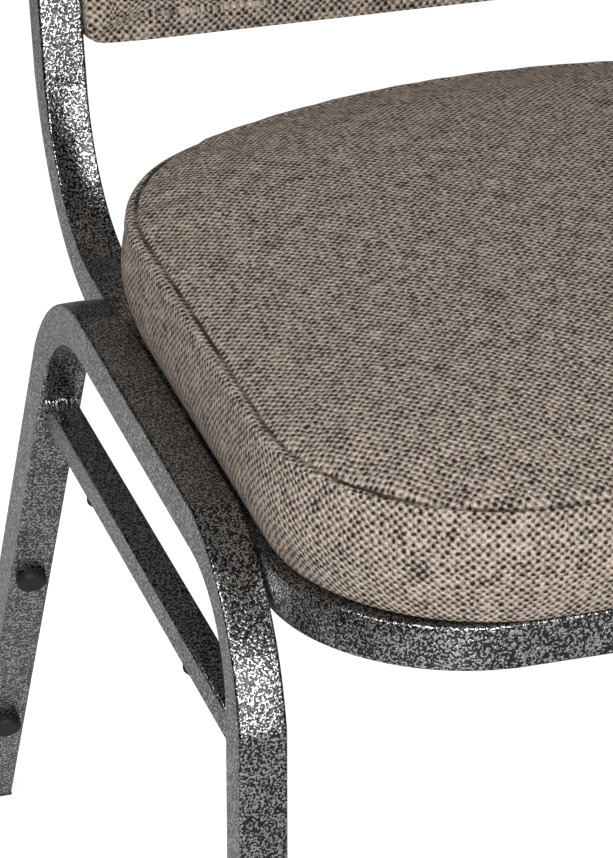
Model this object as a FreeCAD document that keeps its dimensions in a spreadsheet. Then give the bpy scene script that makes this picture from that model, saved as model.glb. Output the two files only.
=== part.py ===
import FreeCAD
import Part
import Sketcher
import math
import os
import re

# Stacking banquet chair: a welded square-tube frame with an upholstered seat and back.
# Millimetres, +Z up, and the chair faces -Y. The origin is on the floor, midway between the
# left and right legs and midway between the front of the seat and the rear feet.
# Left and right are as seen from the front: the left side is at -X.

SIZES = [
    # Frame tubes
    ("tube_width", 20.5, "side of the square tube of seat rails and back hoop"),
    ("leg_width", 20.5, "side of the square leg tube"),
    ("tube_wall", 1.2, "wall of the frame tubes"),
    ("tube_corner", 1.4, "outer corner radius of the frame tubes"),
    ("tube_inner_corner", 0.6, "inner corner radius of the frame tubes"),
    # Leg frames
    ("leg_spread", 460.5, "across the outer faces of the left and right legs"),
    ("leg_height", 402, "floor to the top of the level run"),
    ("leg_front", 239.2, "front faces of the front legs, ahead of the origin"),
    ("leg_run", 287.5, "front leg's front face to where the rear leg's front face meets the run's top"),
    ("leg_front_bend", 58, "centre-line radius of the front bend"),
    ("leg_rear_bend", 90, "centre-line radius of the rear bend"),
    ("rear_rake", 29.3, "rear leg's angle from upright, in degrees"),
    # Braces
    ("brace_width", 14, "side of the square brace tube"),
    ("brace_wall", 1, "wall of the brace tube"),
    ("brace_drop", 73.6, "run's top down to the brace's top, at the front leg's front face"),
    ("brace_tilt", 1, "fall of the brace towards the rear, in degrees"),
    # Welds
    ("brace_bead", 2.6, "leg of the weld beads at the brace ends"),
    ("leg_bead", 4, "leg of the weld beads between leg runs and side rails"),
    ("leg_bead_length", 55, "length of one bead between a leg run and a side rail"),
    ("leg_bead_front", 14.5, "start of the front beads, behind the end of the front bend"),
    ("leg_bead_rear", 5.3, "end of the rear beads, ahead of the start of the rear bend"),
    # Seat rails
    ("rail_drop", 7, "run's top down to the top of the seat rails"),
    ("rail_overhang", 47, "front rail's front face, ahead of the front legs"),
    ("rail_corner", 70, "centre-line radius of the front rail's corners"),
    ("rail_joint", 160, "joint of front rail and hoop, behind the front legs' front faces"),
    ("sleeve_length", 60, "sleeve inside the joint of front rail and hoop"),
    ("sleeve_wall", 1.5, "wall of that sleeve"),
    ("sleeve_gap", 0.5, "clearance between sleeve and tube"),
    # Back hoop
    ("upright_set", 378, "front legs' front faces to the uprights' front faces, at the rail's top"),
    ("upright_lean", 12.2, "backward lean of the back, in degrees"),
    ("upright_bend", 90, "centre-line radius of the bend from side rail to upright"),
    ("hoop_length", 524, "upright's centre line, from the side rail's level to the top corner"),
    ("hoop_corner", 95, "centre-line radius of the hoop's top corners"),
    ("hoop_crown", 28, "rise of the hoop's top from its corners to its middle"),
    ("hoop_crown_bend", 500, "radius of the hoop's top at its middle"),
    # Seat cross bars and their screws
    ("bar_depth", 25, "cross bar, front to rear"),
    ("bar_height", 14, "cross bar, top to bottom"),
    ("bar_wall", 1.2, "wall of the cross bars"),
    ("bar_front", 60, "front cross bar's middle, behind the front legs' front faces"),
    ("bar_rear", 250, "rear cross bar's middle, behind the front legs' front faces"),
    ("screw_spread", 260, "between the left and right seat screws"),
    ("screw_diameter", 6, "seat screw's shank"),
    ("screw_head", 12, "seat screw's head, across"),
    ("screw_head_height", 3.6, "seat screw's head, height"),
    ("screw_gap", 0.4, "clearance round the shank in bars and dust cover"),
    ("nut_gap", 0.1, "clearance round the shank in the tee nut, and round the tee nut in the board"),
    ("nut_barrel", 8, "tee nut's barrel, across"),
    ("nut_flange", 18, "tee nut's flange, across"),
    ("nut_flange_height", 1.5, "tee nut's flange, thickness"),
    ("nut_depth", 10, "tee nut's length with its flange"),
    # Seat
    ("dust_thickness", 0.8, "dust cover under the seat"),
    ("dust_inset", 14, "dust cover's edge, inside the cushion's seam line"),
    ("board_thickness", 12, "plywood seat board"),
    ("board_inset", 8, "seat board's edge, inside the cushion's seam line"),
    ("cover_thickness", 1.5, "upholstery fabric with its backing"),
    ("foam_gap", 0.2, "clearance between foam and cover"),
    ("seat_lap", 1.25, "cushion's seam line at the sides, out over the leg runs' inner faces"),
    ("seat_overhang", 55, "cushion's front seam line, ahead of the front legs"),
    ("seat_rear", 16, "cushion's rear seam line at its middle, ahead of the uprights at the rail's top"),
    ("seat_front_corner", 95, "radius of the cushion's front corners"),
    ("seat_rear_corner", 115, "radius of the cushion's rear corners"),
    ("seat_rear_bow", 330, "radius of the cushion's rear edge"),
    ("seat_side", 53, "height of the boxed sides, board's underside to seam line"),
    ("seat_crown", 12.5, "rise of the crowned top above the seam line"),
    ("seat_crown_inset", 80, "width of the band in which the top rises"),
    ("seat_tuck", 6, "cushion's bottom edge, drawn in from the seam line"),
    ("seat_roll", 2.4, "sides above the rolled bottom edge, drawn in from the seam line"),
    ("seat_roll_height", 8, "height of the rolled bottom edge"),
    ("seat_belly", 3, "bulge of the boxed sides beyond the seam line"),
    ("seat_belly_height", 29, "fullest part of the sides, above the board's underside"),
    # Back pad
    ("pad_gap", 0.6, "clearance between back pad and hoop"),
    ("pad_bottom", 87, "back pad's bottom edge, above the side rail's centre along the uprights"),
    ("pad_corner", 4, "radius of the back pad's bottom corners"),
    ("pad_front", 14, "front pad's middle, ahead of the uprights' front faces"),
    ("pad_side", 3, "front pad's edge, ahead of the uprights' front faces"),
    ("pad_crown_inset", 55, "width of the band in which the back pads rise"),
    ("core_thickness", 10, "plywood core of the back"),
    ("core_rear", 2, "rear face of the core, behind the uprights' centre line"),
    ("panel_rear", 6, "rear pad's middle, behind its edge"),
    ("panel_side", 0.6, "rear pad's edge, behind the hardboard's rear face"),
    ("panel_thickness", 4, "hardboard of the rear pad"),
    ("panel_set", 3.4, "hardboard's front face, behind the tabs"),
    # Back tabs, screws and clips
    ("tab_thickness", 2, "steel tabs inside the hoop"),
    ("tab_reach", 28, "tab's reach from the upright"),
    ("tab_height", 24, "tab's height"),
    ("tab_low", 160, "lower tabs, above the side rail's centre along the uprights"),
    ("tab_high", 124, "upper tabs, below the hoop's top corners along the uprights"),
    ("wood_screw_diameter", 4, "back screw's shank"),
    ("wood_screw_head", 8, "back screw's head, across"),
    ("wood_screw_head_height", 2.4, "back screw's head, height"),
    ("wood_screw_depth", 8, "back screw's reach into the core"),
    ("wood_screw_gap", 0.2, "clearance round the back screw"),
    ("clip_diameter", 6, "push-in clip's stud"),
    ("clip_flange", 14, "push-in clip's flange, across"),
    ("clip_flange_height", 1.2, "push-in clip's flange, thickness"),
    ("clip_depth", 7, "push-in clip's reach into the core"),
    ("clip_gap", 0.2, "clearance round the clip's stud"),
    ("clip_spread", 240, "between the left and right clips"),
    ("clip_low", 190, "lower clips, above the side rail's centre along the uprights"),
    ("clip_high", 94, "upper clips, below the hoop's top corners along the uprights"),
    # Feet and stacking bumpers
    ("glide_pad", 1.6, "glide's pad under the leg"),
    ("glide_plug", 22, "glide's plug inside the leg"),
    ("glide_gap", 0.5, "clearance between plug and tube"),
    ("bumper_head", 15, "rear-leg bumper's head, across"),
    ("bumper_height", 5, "rear-leg bumper's head, height"),
    ("bumper_stem", 8, "rear-leg bumper's stem, across"),
    ("bumper_stem_length", 7, "rear-leg bumper's stem, length"),
    ("bumper_round", 2.4, "rounding of the rear-leg bumper's head"),
    ("bumper_high", 212, "upper rear-leg bumper, below the run's top"),
    ("bumper_low", 68, "lower rear-leg bumper, above the floor"),
    ("button_head", 12, "brace bumper's head, across"),
    ("button_height", 5.5, "brace bumper's head, height"),
    ("button_stem", 5, "brace bumper's stem, across"),
    ("button_stem_length", 5, "brace bumper's stem, length"),
    ("button_round", 2, "rounding of the brace bumper's head"),
    ("button_front", 100, "front brace bumper, behind the front leg's front face"),
    ("button_rear", 78, "rear brace bumper, ahead of the brace's rear end"),
    ("plug_gap", 0.1, "clearance between a bumper's stem and its hole"),
]
SIZE_NAMES = {name for name, number, note in SIZES}
SIDES = (-1, 1)
# How a pad rises inwards from its seam line: share of the band, share of the height.
SEAT_RISE = ((0, 0), (0.12, 0.42), (0.45, 0.8), (1, 1))
BACK_RISE = ((0, 0), (0.14, 0.5), (0.5, 0.85), (1, 1))
LEVEL = FreeCAD.Rotation()
TINY = 1e-6

doc = FreeCAD.newDocument("banquet_chair")
sheet = doc.addObject("Spreadsheet::Sheet", "sizes")
for row, (name, number, note) in enumerate(SIZES, start=1):
    sheet.set(f"A{row}", name)
    sheet.set(f"B{row}", str(number))
    sheet.set(f"C{row}", note)
    sheet.setAlias(f"B{row}", name)
doc.recompute()

subparts = []


# Sizes and places

def cell(expression):
    """The expression with each size's name pointing at its cell of the sheet."""
    def point(word):
        return f"sizes.{word[0]}" if word[0] in SIZE_NAMES else word[0]

    return re.sub(r"[a-z_]+", point, expression)


def value(expression):
    return float(sheet.evalExpression(cell(expression)))


def bind(thing, **expressions):
    for name, expression in expressions.items():
        thing.setExpression(name, cell(expression))


def vector(x, y, z):
    return FreeCAD.Vector(value(x), value(y), value(z))


LEG_X = "((leg_spread - leg_width) / 2)"
RAIL_X = f"({LEG_X} - (leg_width + tube_width) / 2)"
RAIL_INNER = f"({RAIL_X} - tube_width / 2)"
RAIL_TOP = "(leg_height - rail_drop)"
RAIL_MIDDLE = f"({RAIL_TOP} - tube_width / 2)"
BEHIND_LEG = "(0 - leg_front)"
SEAT_BOTTOM = f"({RAIL_TOP} + dust_thickness)"
BOARD_TOP = f"({SEAT_BOTTOM} + board_thickness)"
RAIL_BORE = "(tube_width - 2 * tube_wall)"
LEG_BORE = "(leg_width - 2 * tube_wall)"

# The back's own frame: x across, y backwards square to the back, z up along the uprights, from
# the level of the side rails' centre lines.
UPRIGHT_STEP = "((1 / cos(upright_lean) - tan(upright_lean)) * tube_width / 2)"
back = FreeCAD.Placement(
    vector("0", f"{BEHIND_LEG} + upright_set + {UPRIGHT_STEP}", RAIL_MIDDLE),
    FreeCAD.Rotation(FreeCAD.Vector(1, 0, 0), -value("upright_lean")))


# Wires and tubes

def rounded_corner(before, corner, after, radius):
    """Start, middle and end of the arc that rounds a corner."""
    back_way = (before - corner).normalize()
    on_way = (after - corner).normalize()
    half = back_way.getAngle(on_way) / 2
    inward = (back_way + on_way).normalize()
    reach = radius / math.tan(half)
    middle = corner + inward * (radius / math.sin(half) - radius)
    return corner + back_way * reach, middle, corner + on_way * reach


def open_path(corners, radii):
    """Straight runs joined by tangent arcs, one radius for each corner between the ends."""
    edges = []
    start = corners[0]
    for before, corner, after, radius in zip(corners, corners[1:], corners[2:], radii):
        first, middle, last = rounded_corner(before, corner, after, radius)
        edges.append(Part.LineSegment(start, first).toShape())
        edges.append(Part.Arc(first, middle, last).toShape())
        start = last
    edges.append(Part.LineSegment(start, corners[-1]).toShape())
    return Part.Wire(edges)


def closed_outline(corners, radii):
    """A closed outline of straight sides with rounded corners."""
    count = len(corners)
    arcs = []
    for i in range(count):
        arcs.append(rounded_corner(corners[i - 1], corners[i], corners[(i + 1) % count], radii[i]))
    edges = []
    for i, (first, middle, last) in enumerate(arcs):
        edges.append(Part.Arc(first, middle, last).toShape())
        edges.append(Part.LineSegment(last, arcs[(i + 1) % count][0]).toShape())
    return Part.Wire(edges)


def square_section(middle, across, up, width, corner):
    half = width / 2
    turns = ((-half, -half), (half, -half), (half, half), (-half, half))
    return closed_outline([middle + across * x + up * y for x, y in turns], [corner] * len(turns))


def bent_tube(width, bore, corners, radii):
    """Square tube along straight runs and bends, its first run square to the X axis."""
    path = open_path(corners, radii)
    along = (corners[1] - corners[0]).normalize()
    across = FreeCAD.Vector(1, 0, 0)
    up = along.cross(across)
    outside = square_section(corners[0], across, up, value(width), value("tube_corner"))
    inside = square_section(corners[0], across, up, value(bore), value("tube_inner_corner"))
    tube = path.makePipeShell([outside], True, False).cut(path.makePipeShell([inside], True, False))
    expected = (Part.Face(outside).Area - Part.Face(inside).Area) * path.Length
    print(f"tube of {path.Length:.0f} mm: volume over section times length {tube.Volume / expected:.4f}")
    return tube


# Document objects

def add_shape(label, shape):
    """A sub-part whose shape comes from wires, tubes or lofts."""
    piece = doc.addObject("Part::Feature", label)
    piece.Label = label
    piece.Shape = shape
    subparts.append(piece)
    return piece


def add_group(label, pattern, places):
    """Like pieces that share a node, each a copy of the pattern body at its own place."""
    doc.recompute()
    copies = []
    for place in places:
        copy = pattern.Shape.copy()
        copy.Placement = place.multiply(pattern.Placement)
        copies.append(copy)
    return add_shape(label, Part.makeCompound(copies))


def new_body(label, is_subpart=True):
    body = doc.addObject("PartDesign::Body", label)
    body.Label = label
    if is_subpart:
        subparts.append(body)
    return body


def new_sketch(body, role, name):
    plane = next(feature for feature in body.Origin.OriginFeatures if feature.Role == role)
    sketch = body.newObject("Sketcher::SketchObject", f"{body.Name}_{name}")
    sketch.AttachmentSupport = [(plane, "")]
    sketch.MapMode = "FlatFace"
    return sketch


def pin(sketch, line, point, x, y):
    """Ties a point of a sketch to the sheet, across and up from the sketch's origin."""
    for kind, axis, expression in (("DistanceX", -2, x), ("DistanceY", -1, y)):
        if expression == "0":
            sketch.addConstraint(Sketcher.Constraint("PointOnObject", line, point, axis))
        else:
            index = sketch.addConstraint(Sketcher.Constraint(kind, line, point, value(expression)))
            sketch.setExpression(f"Constraints[{index}]", cell(expression))


def draw_polygon(sketch, corners):
    first = sketch.GeometryCount
    count = len(corners)
    spots = [vector(x, y, "0") for x, y in corners]
    for i in range(count):
        sketch.addGeometry(Part.LineSegment(spots[i], spots[(i + 1) % count]), False)
    for i in range(count):
        sketch.addConstraint(Sketcher.Constraint("Coincident", first + i, 2, first + (i + 1) % count, 1))
    for i, (x, y) in enumerate(corners):
        pin(sketch, first + i, 1, x, y)


def draw_rectangle(sketch, width, height):
    left, right = f"0 - ({width}) / 2", f"({width}) / 2"
    low, high = f"0 - ({height}) / 2", f"({height}) / 2"
    draw_polygon(sketch, [(left, low), (right, low), (right, high), (left, high)])


def draw_circle(sketch, diameter, x, y):
    shape = Part.Circle(vector(x, y, "0"), FreeCAD.Vector(0, 0, 1), value(diameter) / 2)
    circle = sketch.addGeometry(shape, False)
    pin(sketch, circle, 3, x, y)
    index = sketch.addConstraint(Sketcher.Constraint("Diameter", circle, value(diameter)))
    sketch.setExpression(f"Constraints[{index}]", cell(diameter))


def pad_both_ways(body, sketch, length):
    pad = body.newObject("PartDesign::Pad", f"{sketch.Name}_pad")
    pad.Profile = sketch
    pad.SideType = "Symmetric"
    bind(pad, Length=length)
    return pad


def cut_both_ways(body, sketch, length):
    doc.recompute()
    before = body.Shape.Volume
    pocket = body.newObject("PartDesign::Pocket", f"{sketch.Name}_cut")
    pocket.Profile = sketch
    pocket.SideType = "Symmetric"
    bind(pocket, Length=length)
    doc.recompute()
    if body.Shape.Volume >= before:
        raise RuntimeError(f"{pocket.Name} cuts nothing")
    return pocket


def turned_body(label, corners):
    """A pattern body turned about its Z axis from half its outline."""
    body = new_body(label, is_subpart=False)
    sketch = new_sketch(body, "XZ_Plane", "outline")
    draw_polygon(sketch, corners)
    turned = body.newObject("PartDesign::Revolution", f"{label}_turned")
    turned.Profile = sketch
    turned.ReferenceAxis = (sketch, ["V_Axis"])
    turned.Angle = 360
    return body


def round_top_edge(body, radius):
    """Rounds the highest edge of a turned body."""
    doc.recompute()
    turned = body.Tip
    top = max(edge.CenterOfMass.z for edge in turned.Shape.Edges)
    names = [f"Edge{i}" for i, edge in enumerate(turned.Shape.Edges, start=1)
             if edge.Closed and edge.CenterOfMass.z > top - TINY]
    fillet = body.newObject("PartDesign::Fillet", f"{body.Name}_rounding")
    fillet.Base = (turned, names)
    bind(fillet, Radius=radius)


# Leg frames: front leg, level run and raked rear leg bent from one tube, with holes for the
# stacking bumpers in the front face of the rear leg.

LEG_MIDDLE_Y = f"({BEHIND_LEG} + leg_width / 2)"
RUN_MIDDLE = "(leg_height - leg_width / 2)"
REAR_CORNER_Y = f"({BEHIND_LEG} + leg_run + (tan(rear_rake) + 1 / cos(rear_rake)) * leg_width / 2)"
rake_down = vector("0", "sin(rear_rake)", "0 - cos(rear_rake)")
rake_forward = FreeCAD.Vector(0, rake_down.z, -rake_down.y)


def rear_leg_face(x, drop):
    """Point in the middle of the rear leg's front face, at a drop below the run's top."""
    return vector(x, f"{BEHIND_LEG} + leg_run + ({drop}) * tan(rear_rake)", f"leg_height - ({drop})")


def bumper_places():
    turn = FreeCAD.Rotation(FreeCAD.Vector(0, 0, 1), rake_forward)
    return [FreeCAD.Placement(rear_leg_face(f"{side} * {LEG_X}", drop), turn)
            for side in SIDES for drop in ("bumper_high", "leg_height - bumper_low")]


def leg_frame(side):
    x = f"{side} * {LEG_X}"
    past_floor = value("leg_width")
    rear_corner = vector(x, REAR_CORNER_Y, RUN_MIDDLE)
    rear_end = rear_corner + rake_down * ((rear_corner.z + past_floor) / -rake_down.z)
    front_end = vector(x, LEG_MIDDLE_Y, "glide_pad")
    corners = [front_end, vector(x, LEG_MIDDLE_Y, RUN_MIDDLE), rear_corner, rear_end]
    tube = bent_tube("leg_width", LEG_BORE, corners, [value("leg_front_bend"), value("leg_rear_bend")])
    width = value("leg_width")
    below = Part.makeBox(width * 2, rear_end.y * 2, past_floor * 2 + value("glide_pad"),
                         FreeCAD.Vector(rear_end.x - width, 0, -past_floor * 2))
    tube = tube.cut(below)
    for place in bumper_places():
        hole = Part.makeCylinder(value("bumper_stem / 2 + plug_gap"), width,
                                 place.Base - rake_forward * (width / 2), rake_forward)
        tube = tube.cut(hole)
    return tube


add_shape("leg_frame_left", leg_frame(-1))
add_shape("leg_frame_right", leg_frame(1))


# Braces: thin square tubes from the front leg's rear face to the rear leg's front face, with
# two holes below for the stacking buttons.

def brace_end(drop):
    """Where a line this far below the run's top meets the rear leg, behind the front leg's front face."""
    return f"((leg_run + ({drop}) * tan(rear_rake)) / (1 - tan(brace_tilt) * tan(rear_rake)))"


def brace_fall(drop, run):
    return f"(leg_height - ({drop}) - ({run}) * tan(brace_tilt))"


BRACE_LOW = "(brace_drop + brace_width / cos(brace_tilt))"
BUTTON_RUNS = ("button_front", f"({brace_end(BRACE_LOW)} - button_rear)")


def brace(label, side):
    body = new_body(label)
    bind(body, **{"Placement.Base.x": f"{side} * {LEG_X}", "Placement.Base.y": BEHIND_LEG})
    outside = new_sketch(body, "YZ_Plane", "outline")
    ends = (("brace_drop", "leg_width"), ("brace_drop", brace_end("brace_drop")),
            (BRACE_LOW, brace_end(BRACE_LOW)), (BRACE_LOW, "leg_width"))
    draw_polygon(outside, [(run, brace_fall(drop, run)) for drop, run in ends])
    pad_both_ways(body, outside, "brace_width")
    bore = new_sketch(body, "YZ_Plane", "bore")
    top, low = "(brace_drop + brace_wall)", f"({BRACE_LOW} - brace_wall)"
    ahead, past = "(0 - leg_width)", f"({brace_end(low)} + leg_width)"
    bore_ends = ((top, ahead), (top, past), (low, past), (low, ahead))
    draw_polygon(bore, [(run, brace_fall(drop, run)) for drop, run in bore_ends])
    cut_both_ways(body, bore, "brace_width - 2 * brace_wall")
    holes = new_sketch(body, "XY_Plane", "button_holes")
    for run in BUTTON_RUNS:
        draw_circle(holes, "button_stem + 2 * plug_gap", "0", run)
    bind(holes, **{"AttachmentOffset.Base.z": f"leg_height - {BRACE_LOW}"})
    cut_both_ways(body, holes, "brace_width")


brace("brace_left", -1)
brace("brace_right", 1)


# Weld beads: three-cornered runs of filler above and below each brace end, and under each leg
# run where it lies against the side rail.

def bead(label, corners, length):
    body = new_body(label, is_subpart=False)
    sketch = new_sketch(body, "YZ_Plane", "outline")
    draw_polygon(sketch, corners)
    pad_both_ways(body, sketch, length)
    return body


def brace_beads():
    """Four beads on one brace, in the middle of the chair, behind the front leg's front face."""
    beads = []
    for name, drop, up in (("over", "brace_drop", 1), ("under", BRACE_LOW, -1)):
        front = "leg_width"
        start = brace_fall(drop, front)
        along = f"{front} + brace_bead"
        corners = [(front, start), (along, brace_fall(drop, along)), (front, f"{start} + {up} * brace_bead")]
        beads.append(bead(f"front_bead_{name}", corners, "brace_width"))
        rear = brace_end(drop)
        end = brace_fall(drop, rear)
        along = f"{rear} - brace_bead"
        on_leg = (f"{rear} - {up} * brace_bead * tan(rear_rake)", f"{end} + {up} * brace_bead")
        corners = [(rear, end), (along, brace_fall(drop, along)), on_leg]
        beads.append(bead(f"rear_bead_{name}", corners, "brace_width"))
    doc.recompute()
    return Part.makeCompound([piece.Shape for piece in beads])


one_brace_beads = brace_beads()
add_shape("brace_welds", Part.makeCompound([
    one_brace_beads.translated(vector(f"{side} * {LEG_X}", BEHIND_LEG, "0")) for side in SIDES]))

leg_bead = new_body("leg_bead_pattern", is_subpart=False)
leg_bead_outline = new_sketch(leg_bead, "XZ_Plane", "outline")
draw_polygon(leg_bead_outline, [("0", "0"), ("leg_bead", "0"), ("0", "0 - leg_bead")])
pad_both_ways(leg_bead, leg_bead_outline, "leg_bead_length")
turn_about = FreeCAD.Rotation(FreeCAD.Vector(0, 0, 1), 180)
FRONT_BEND_END = f"({LEG_MIDDLE_Y} + leg_front_bend)"
REAR_BEND_START = f"({REAR_CORNER_Y} - leg_rear_bend * tan((90 - rear_rake) / 2))"
LEG_BEADS = (f"{FRONT_BEND_END} + leg_bead_front + leg_bead_length / 2",
             f"{REAR_BEND_START} - leg_bead_rear - leg_bead_length / 2")
leg_bead_places = []
for side in SIDES:
    for y in LEG_BEADS:
        spot = vector(f"{side} * ({LEG_X} - leg_width / 2)", y, "leg_height - leg_width")
        leg_bead_places.append(FreeCAD.Placement(spot, LEVEL if side > 0 else turn_about))
add_group("leg_welds", leg_bead, leg_bead_places)


# Seat front rail: a U of tube under the seat's front edge, its ends butted on to the hoop.

def front_rail():
    front = f"{BEHIND_LEG} - rail_overhang + tube_width / 2"
    joint = f"{BEHIND_LEG} + rail_joint"
    turns = ((-1, joint), (-1, front), (1, front), (1, joint))
    corners = [vector(f"{side} * {RAIL_X}", y, RAIL_MIDDLE) for side, y in turns]
    return bent_tube("tube_width", RAIL_BORE, corners, [value("rail_corner")] * 2)


add_shape("seat_front_rail", front_rail())


# Back hoop: side rails, uprights and crowned top bent from one tube.

def back_hoop():
    rail_end = f"{BEHIND_LEG} + rail_joint"
    peak = ("0", "hoop_length + hoop_crown")
    turns = ((f"0 - {RAIL_X}", "hoop_length"), peak, (RAIL_X, "hoop_length"))
    top = [back.multVec(vector(x, "0", z)) for x, z in turns]
    low = [back.multVec(vector(f"{side} * {RAIL_X}", "0", "0")) for side in SIDES]
    ends = [vector(f"{side} * {RAIL_X}", rail_end, RAIL_MIDDLE) for side in SIDES]
    corners = [ends[0], low[0], *top, low[1], ends[1]]
    bends = ("upright_bend", "hoop_corner", "hoop_crown_bend", "hoop_corner", "upright_bend")
    return bent_tube("tube_width", RAIL_BORE, corners, [value(bend) for bend in bends])


add_shape("back_hoop", back_hoop())


# Sleeves inside the two joints of front rail and hoop.

SLEEVE_WIDTH = f"({RAIL_BORE} - 2 * sleeve_gap)"
sleeve = new_body("sleeve_pattern", is_subpart=False)
sleeve_outline = new_sketch(sleeve, "XZ_Plane", "outline")
draw_rectangle(sleeve_outline, SLEEVE_WIDTH, SLEEVE_WIDTH)
pad_both_ways(sleeve, sleeve_outline, "sleeve_length")
sleeve_bore = new_sketch(sleeve, "XZ_Plane", "bore")
draw_rectangle(sleeve_bore, f"{SLEEVE_WIDTH} - 2 * sleeve_wall", f"{SLEEVE_WIDTH} - 2 * sleeve_wall")
cut_both_ways(sleeve, sleeve_bore, "2 * sleeve_length")
add_group("rail_joint_sleeves", sleeve, [
    FreeCAD.Placement(vector(f"{side} * {RAIL_X}", f"{BEHIND_LEG} + rail_joint", RAIL_MIDDLE), LEVEL)
    for side in SIDES])


# Seat cross bars: flat tubes between the side rails, drilled for the seat screws.

def cross_bar(label, run):
    body = new_body(label)
    bind(body, **{"Placement.Base.y": f"{BEHIND_LEG} + {run}",
                  "Placement.Base.z": f"{RAIL_TOP} - bar_height / 2"})
    outside = new_sketch(body, "YZ_Plane", "outline")
    draw_rectangle(outside, "bar_depth", "bar_height")
    pad_both_ways(body, outside, f"2 * {RAIL_INNER}")
    bore = new_sketch(body, "YZ_Plane", "bore")
    draw_rectangle(bore, "bar_depth - 2 * bar_wall", "bar_height - 2 * bar_wall")
    cut_both_ways(body, bore, f"4 * {RAIL_INNER}")
    holes = new_sketch(body, "XY_Plane", "screw_holes")
    for side in SIDES:
        draw_circle(holes, "screw_diameter + 2 * screw_gap", f"{side} * screw_spread / 2", "0")
    cut_both_ways(body, holes, "2 * bar_height")


cross_bar("seat_cross_bar_front", "bar_front")
cross_bar("seat_cross_bar_rear", "bar_rear")


# Seat outline: straight front and sides, round front corners, and a bowed rear edge between
# rounder corners. An inset draws the whole outline in.

def seat_outline(inset, height):
    half = value("leg_spread / 2 - leg_width + seat_lap")
    front = value(f"{BEHIND_LEG} - seat_overhang")
    corner, rear_corner, bow = value("seat_front_corner"), value("seat_rear_corner"), value("seat_rear_bow")
    bow_centre = FreeCAD.Vector(0, value(f"{BEHIND_LEG} + upright_set - seat_rear") - bow, height)
    reach = half - rear_corner
    rear_y = bow_centre.y + math.sqrt((bow - rear_corner) ** 2 - reach ** 2)

    def around(centre, radius, degrees):
        angle = math.radians(degrees)
        return centre + FreeCAD.Vector(math.cos(angle), math.sin(angle), 0) * (radius - inset)

    def arc(centre, radius, start, end):
        spots = [around(centre, radius, degrees) for degrees in (start, (start + end) / 2, end)]
        return Part.Arc(*spots).toShape()

    meet = math.degrees(math.atan2(rear_y - bow_centre.y, reach))
    front_right = FreeCAD.Vector(half - corner, front + corner, height)
    front_left = FreeCAD.Vector(corner - half, front + corner, height)
    rear_right = FreeCAD.Vector(reach, rear_y, height)
    rear_left = FreeCAD.Vector(-reach, rear_y, height)
    edges = [
        Part.LineSegment(around(front_left, corner, 270), around(front_right, corner, 270)).toShape(),
        arc(front_right, corner, 270, 360),
        Part.LineSegment(around(front_right, corner, 0), around(rear_right, rear_corner, 0)).toShape(),
        arc(rear_right, rear_corner, 0, meet),
        arc(bow_centre, bow, meet, 180 - meet),
        arc(rear_left, rear_corner, 180 - meet, 180),
        Part.LineSegment(around(rear_left, rear_corner, 180), around(front_left, corner, 180)).toShape(),
        arc(front_left, corner, 180, 270),
    ]
    return Part.Wire(edges)


def seat_form(inset):
    """The cushion's form: sides drawn in at the bottom and bulging below the seam, then a crowned top."""
    bottom, band = value(SEAT_BOTTOM), value("seat_crown_inset")
    seam = bottom + value("seat_side")
    rise = value("seat_crown") - inset
    rings = [("0", "seat_tuck"), ("seat_roll_height", "seat_roll"), ("seat_belly_height", "0 - seat_belly"),
             ("seat_side", "0")]
    sides = [seat_outline(inset + value(drawn), bottom + value(height)) for height, drawn in rings]
    top = [seat_outline(inset + band * inward, seam + rise * upward) for inward, upward in SEAT_RISE]
    return Part.makeLoft(sides, True, False).fuse(Part.makeLoft(top, True, False))


def plate(outline, thickness):
    return Part.Face(outline).extrude(thickness)


def seat_screw_spots():
    return [vector(f"{side} * screw_spread / 2", f"{BEHIND_LEG} + {run}", "0")
            for side in SIDES for run in ("bar_front", "bar_rear")]


def drill(shape, diameter, low, high):
    for spot in seat_screw_spots():
        shape = shape.cut(Part.makeCylinder(diameter / 2, high - low, FreeCAD.Vector(spot.x, spot.y, low)))
    return shape


# Seat: dust cover, plywood board, foam and tweed cover, one on the other.

dust_cover = plate(seat_outline(value("dust_inset"), value(RAIL_TOP)), vector("0", "0", "dust_thickness"))
dust_cover = drill(dust_cover, value("screw_diameter + 2 * screw_gap"), value(RAIL_TOP), value(SEAT_BOTTOM))
add_shape("seat_dust_cover", dust_cover)

board = plate(seat_outline(value("board_inset"), value(SEAT_BOTTOM)), vector("0", "0", "board_thickness"))
board = drill(board, value("nut_barrel + 2 * nut_gap"), value(SEAT_BOTTOM), value(BOARD_TOP))
flange_seat = value(f"{BOARD_TOP} - nut_flange_height")
board = drill(board, value("nut_flange + 2 * nut_gap"), flange_seat, value(BOARD_TOP))
add_shape("seat_board", board)

add_shape("seat_cover", seat_form(0).cut(seat_form(value("cover_thickness"))))

foam = seat_form(value("cover_thickness + foam_gap"))
room = foam.BoundBox
board_room = Part.makeBox(room.XLength * 2, room.YLength * 2, value("board_thickness"),
                          FreeCAD.Vector(-room.XLength, room.Center.y - room.YLength, value(SEAT_BOTTOM)))
add_shape("seat_foam", foam.cut(board_room))


# Seat fixings: tee nuts let into the board from above, and screws up through the cross bars.

tee_nut = turned_body("tee_nut_pattern", [
    ("screw_diameter / 2 + nut_gap", "0"), ("nut_flange / 2", "0"),
    ("nut_flange / 2", "0 - nut_flange_height"), ("nut_barrel / 2", "0 - nut_flange_height"),
    ("nut_barrel / 2", "0 - nut_depth"), ("screw_diameter / 2 + nut_gap", "0 - nut_depth")])
add_group("seat_tee_nuts", tee_nut, [
    FreeCAD.Placement(spot + vector("0", "0", BOARD_TOP), LEVEL) for spot in seat_screw_spots()])

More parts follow.
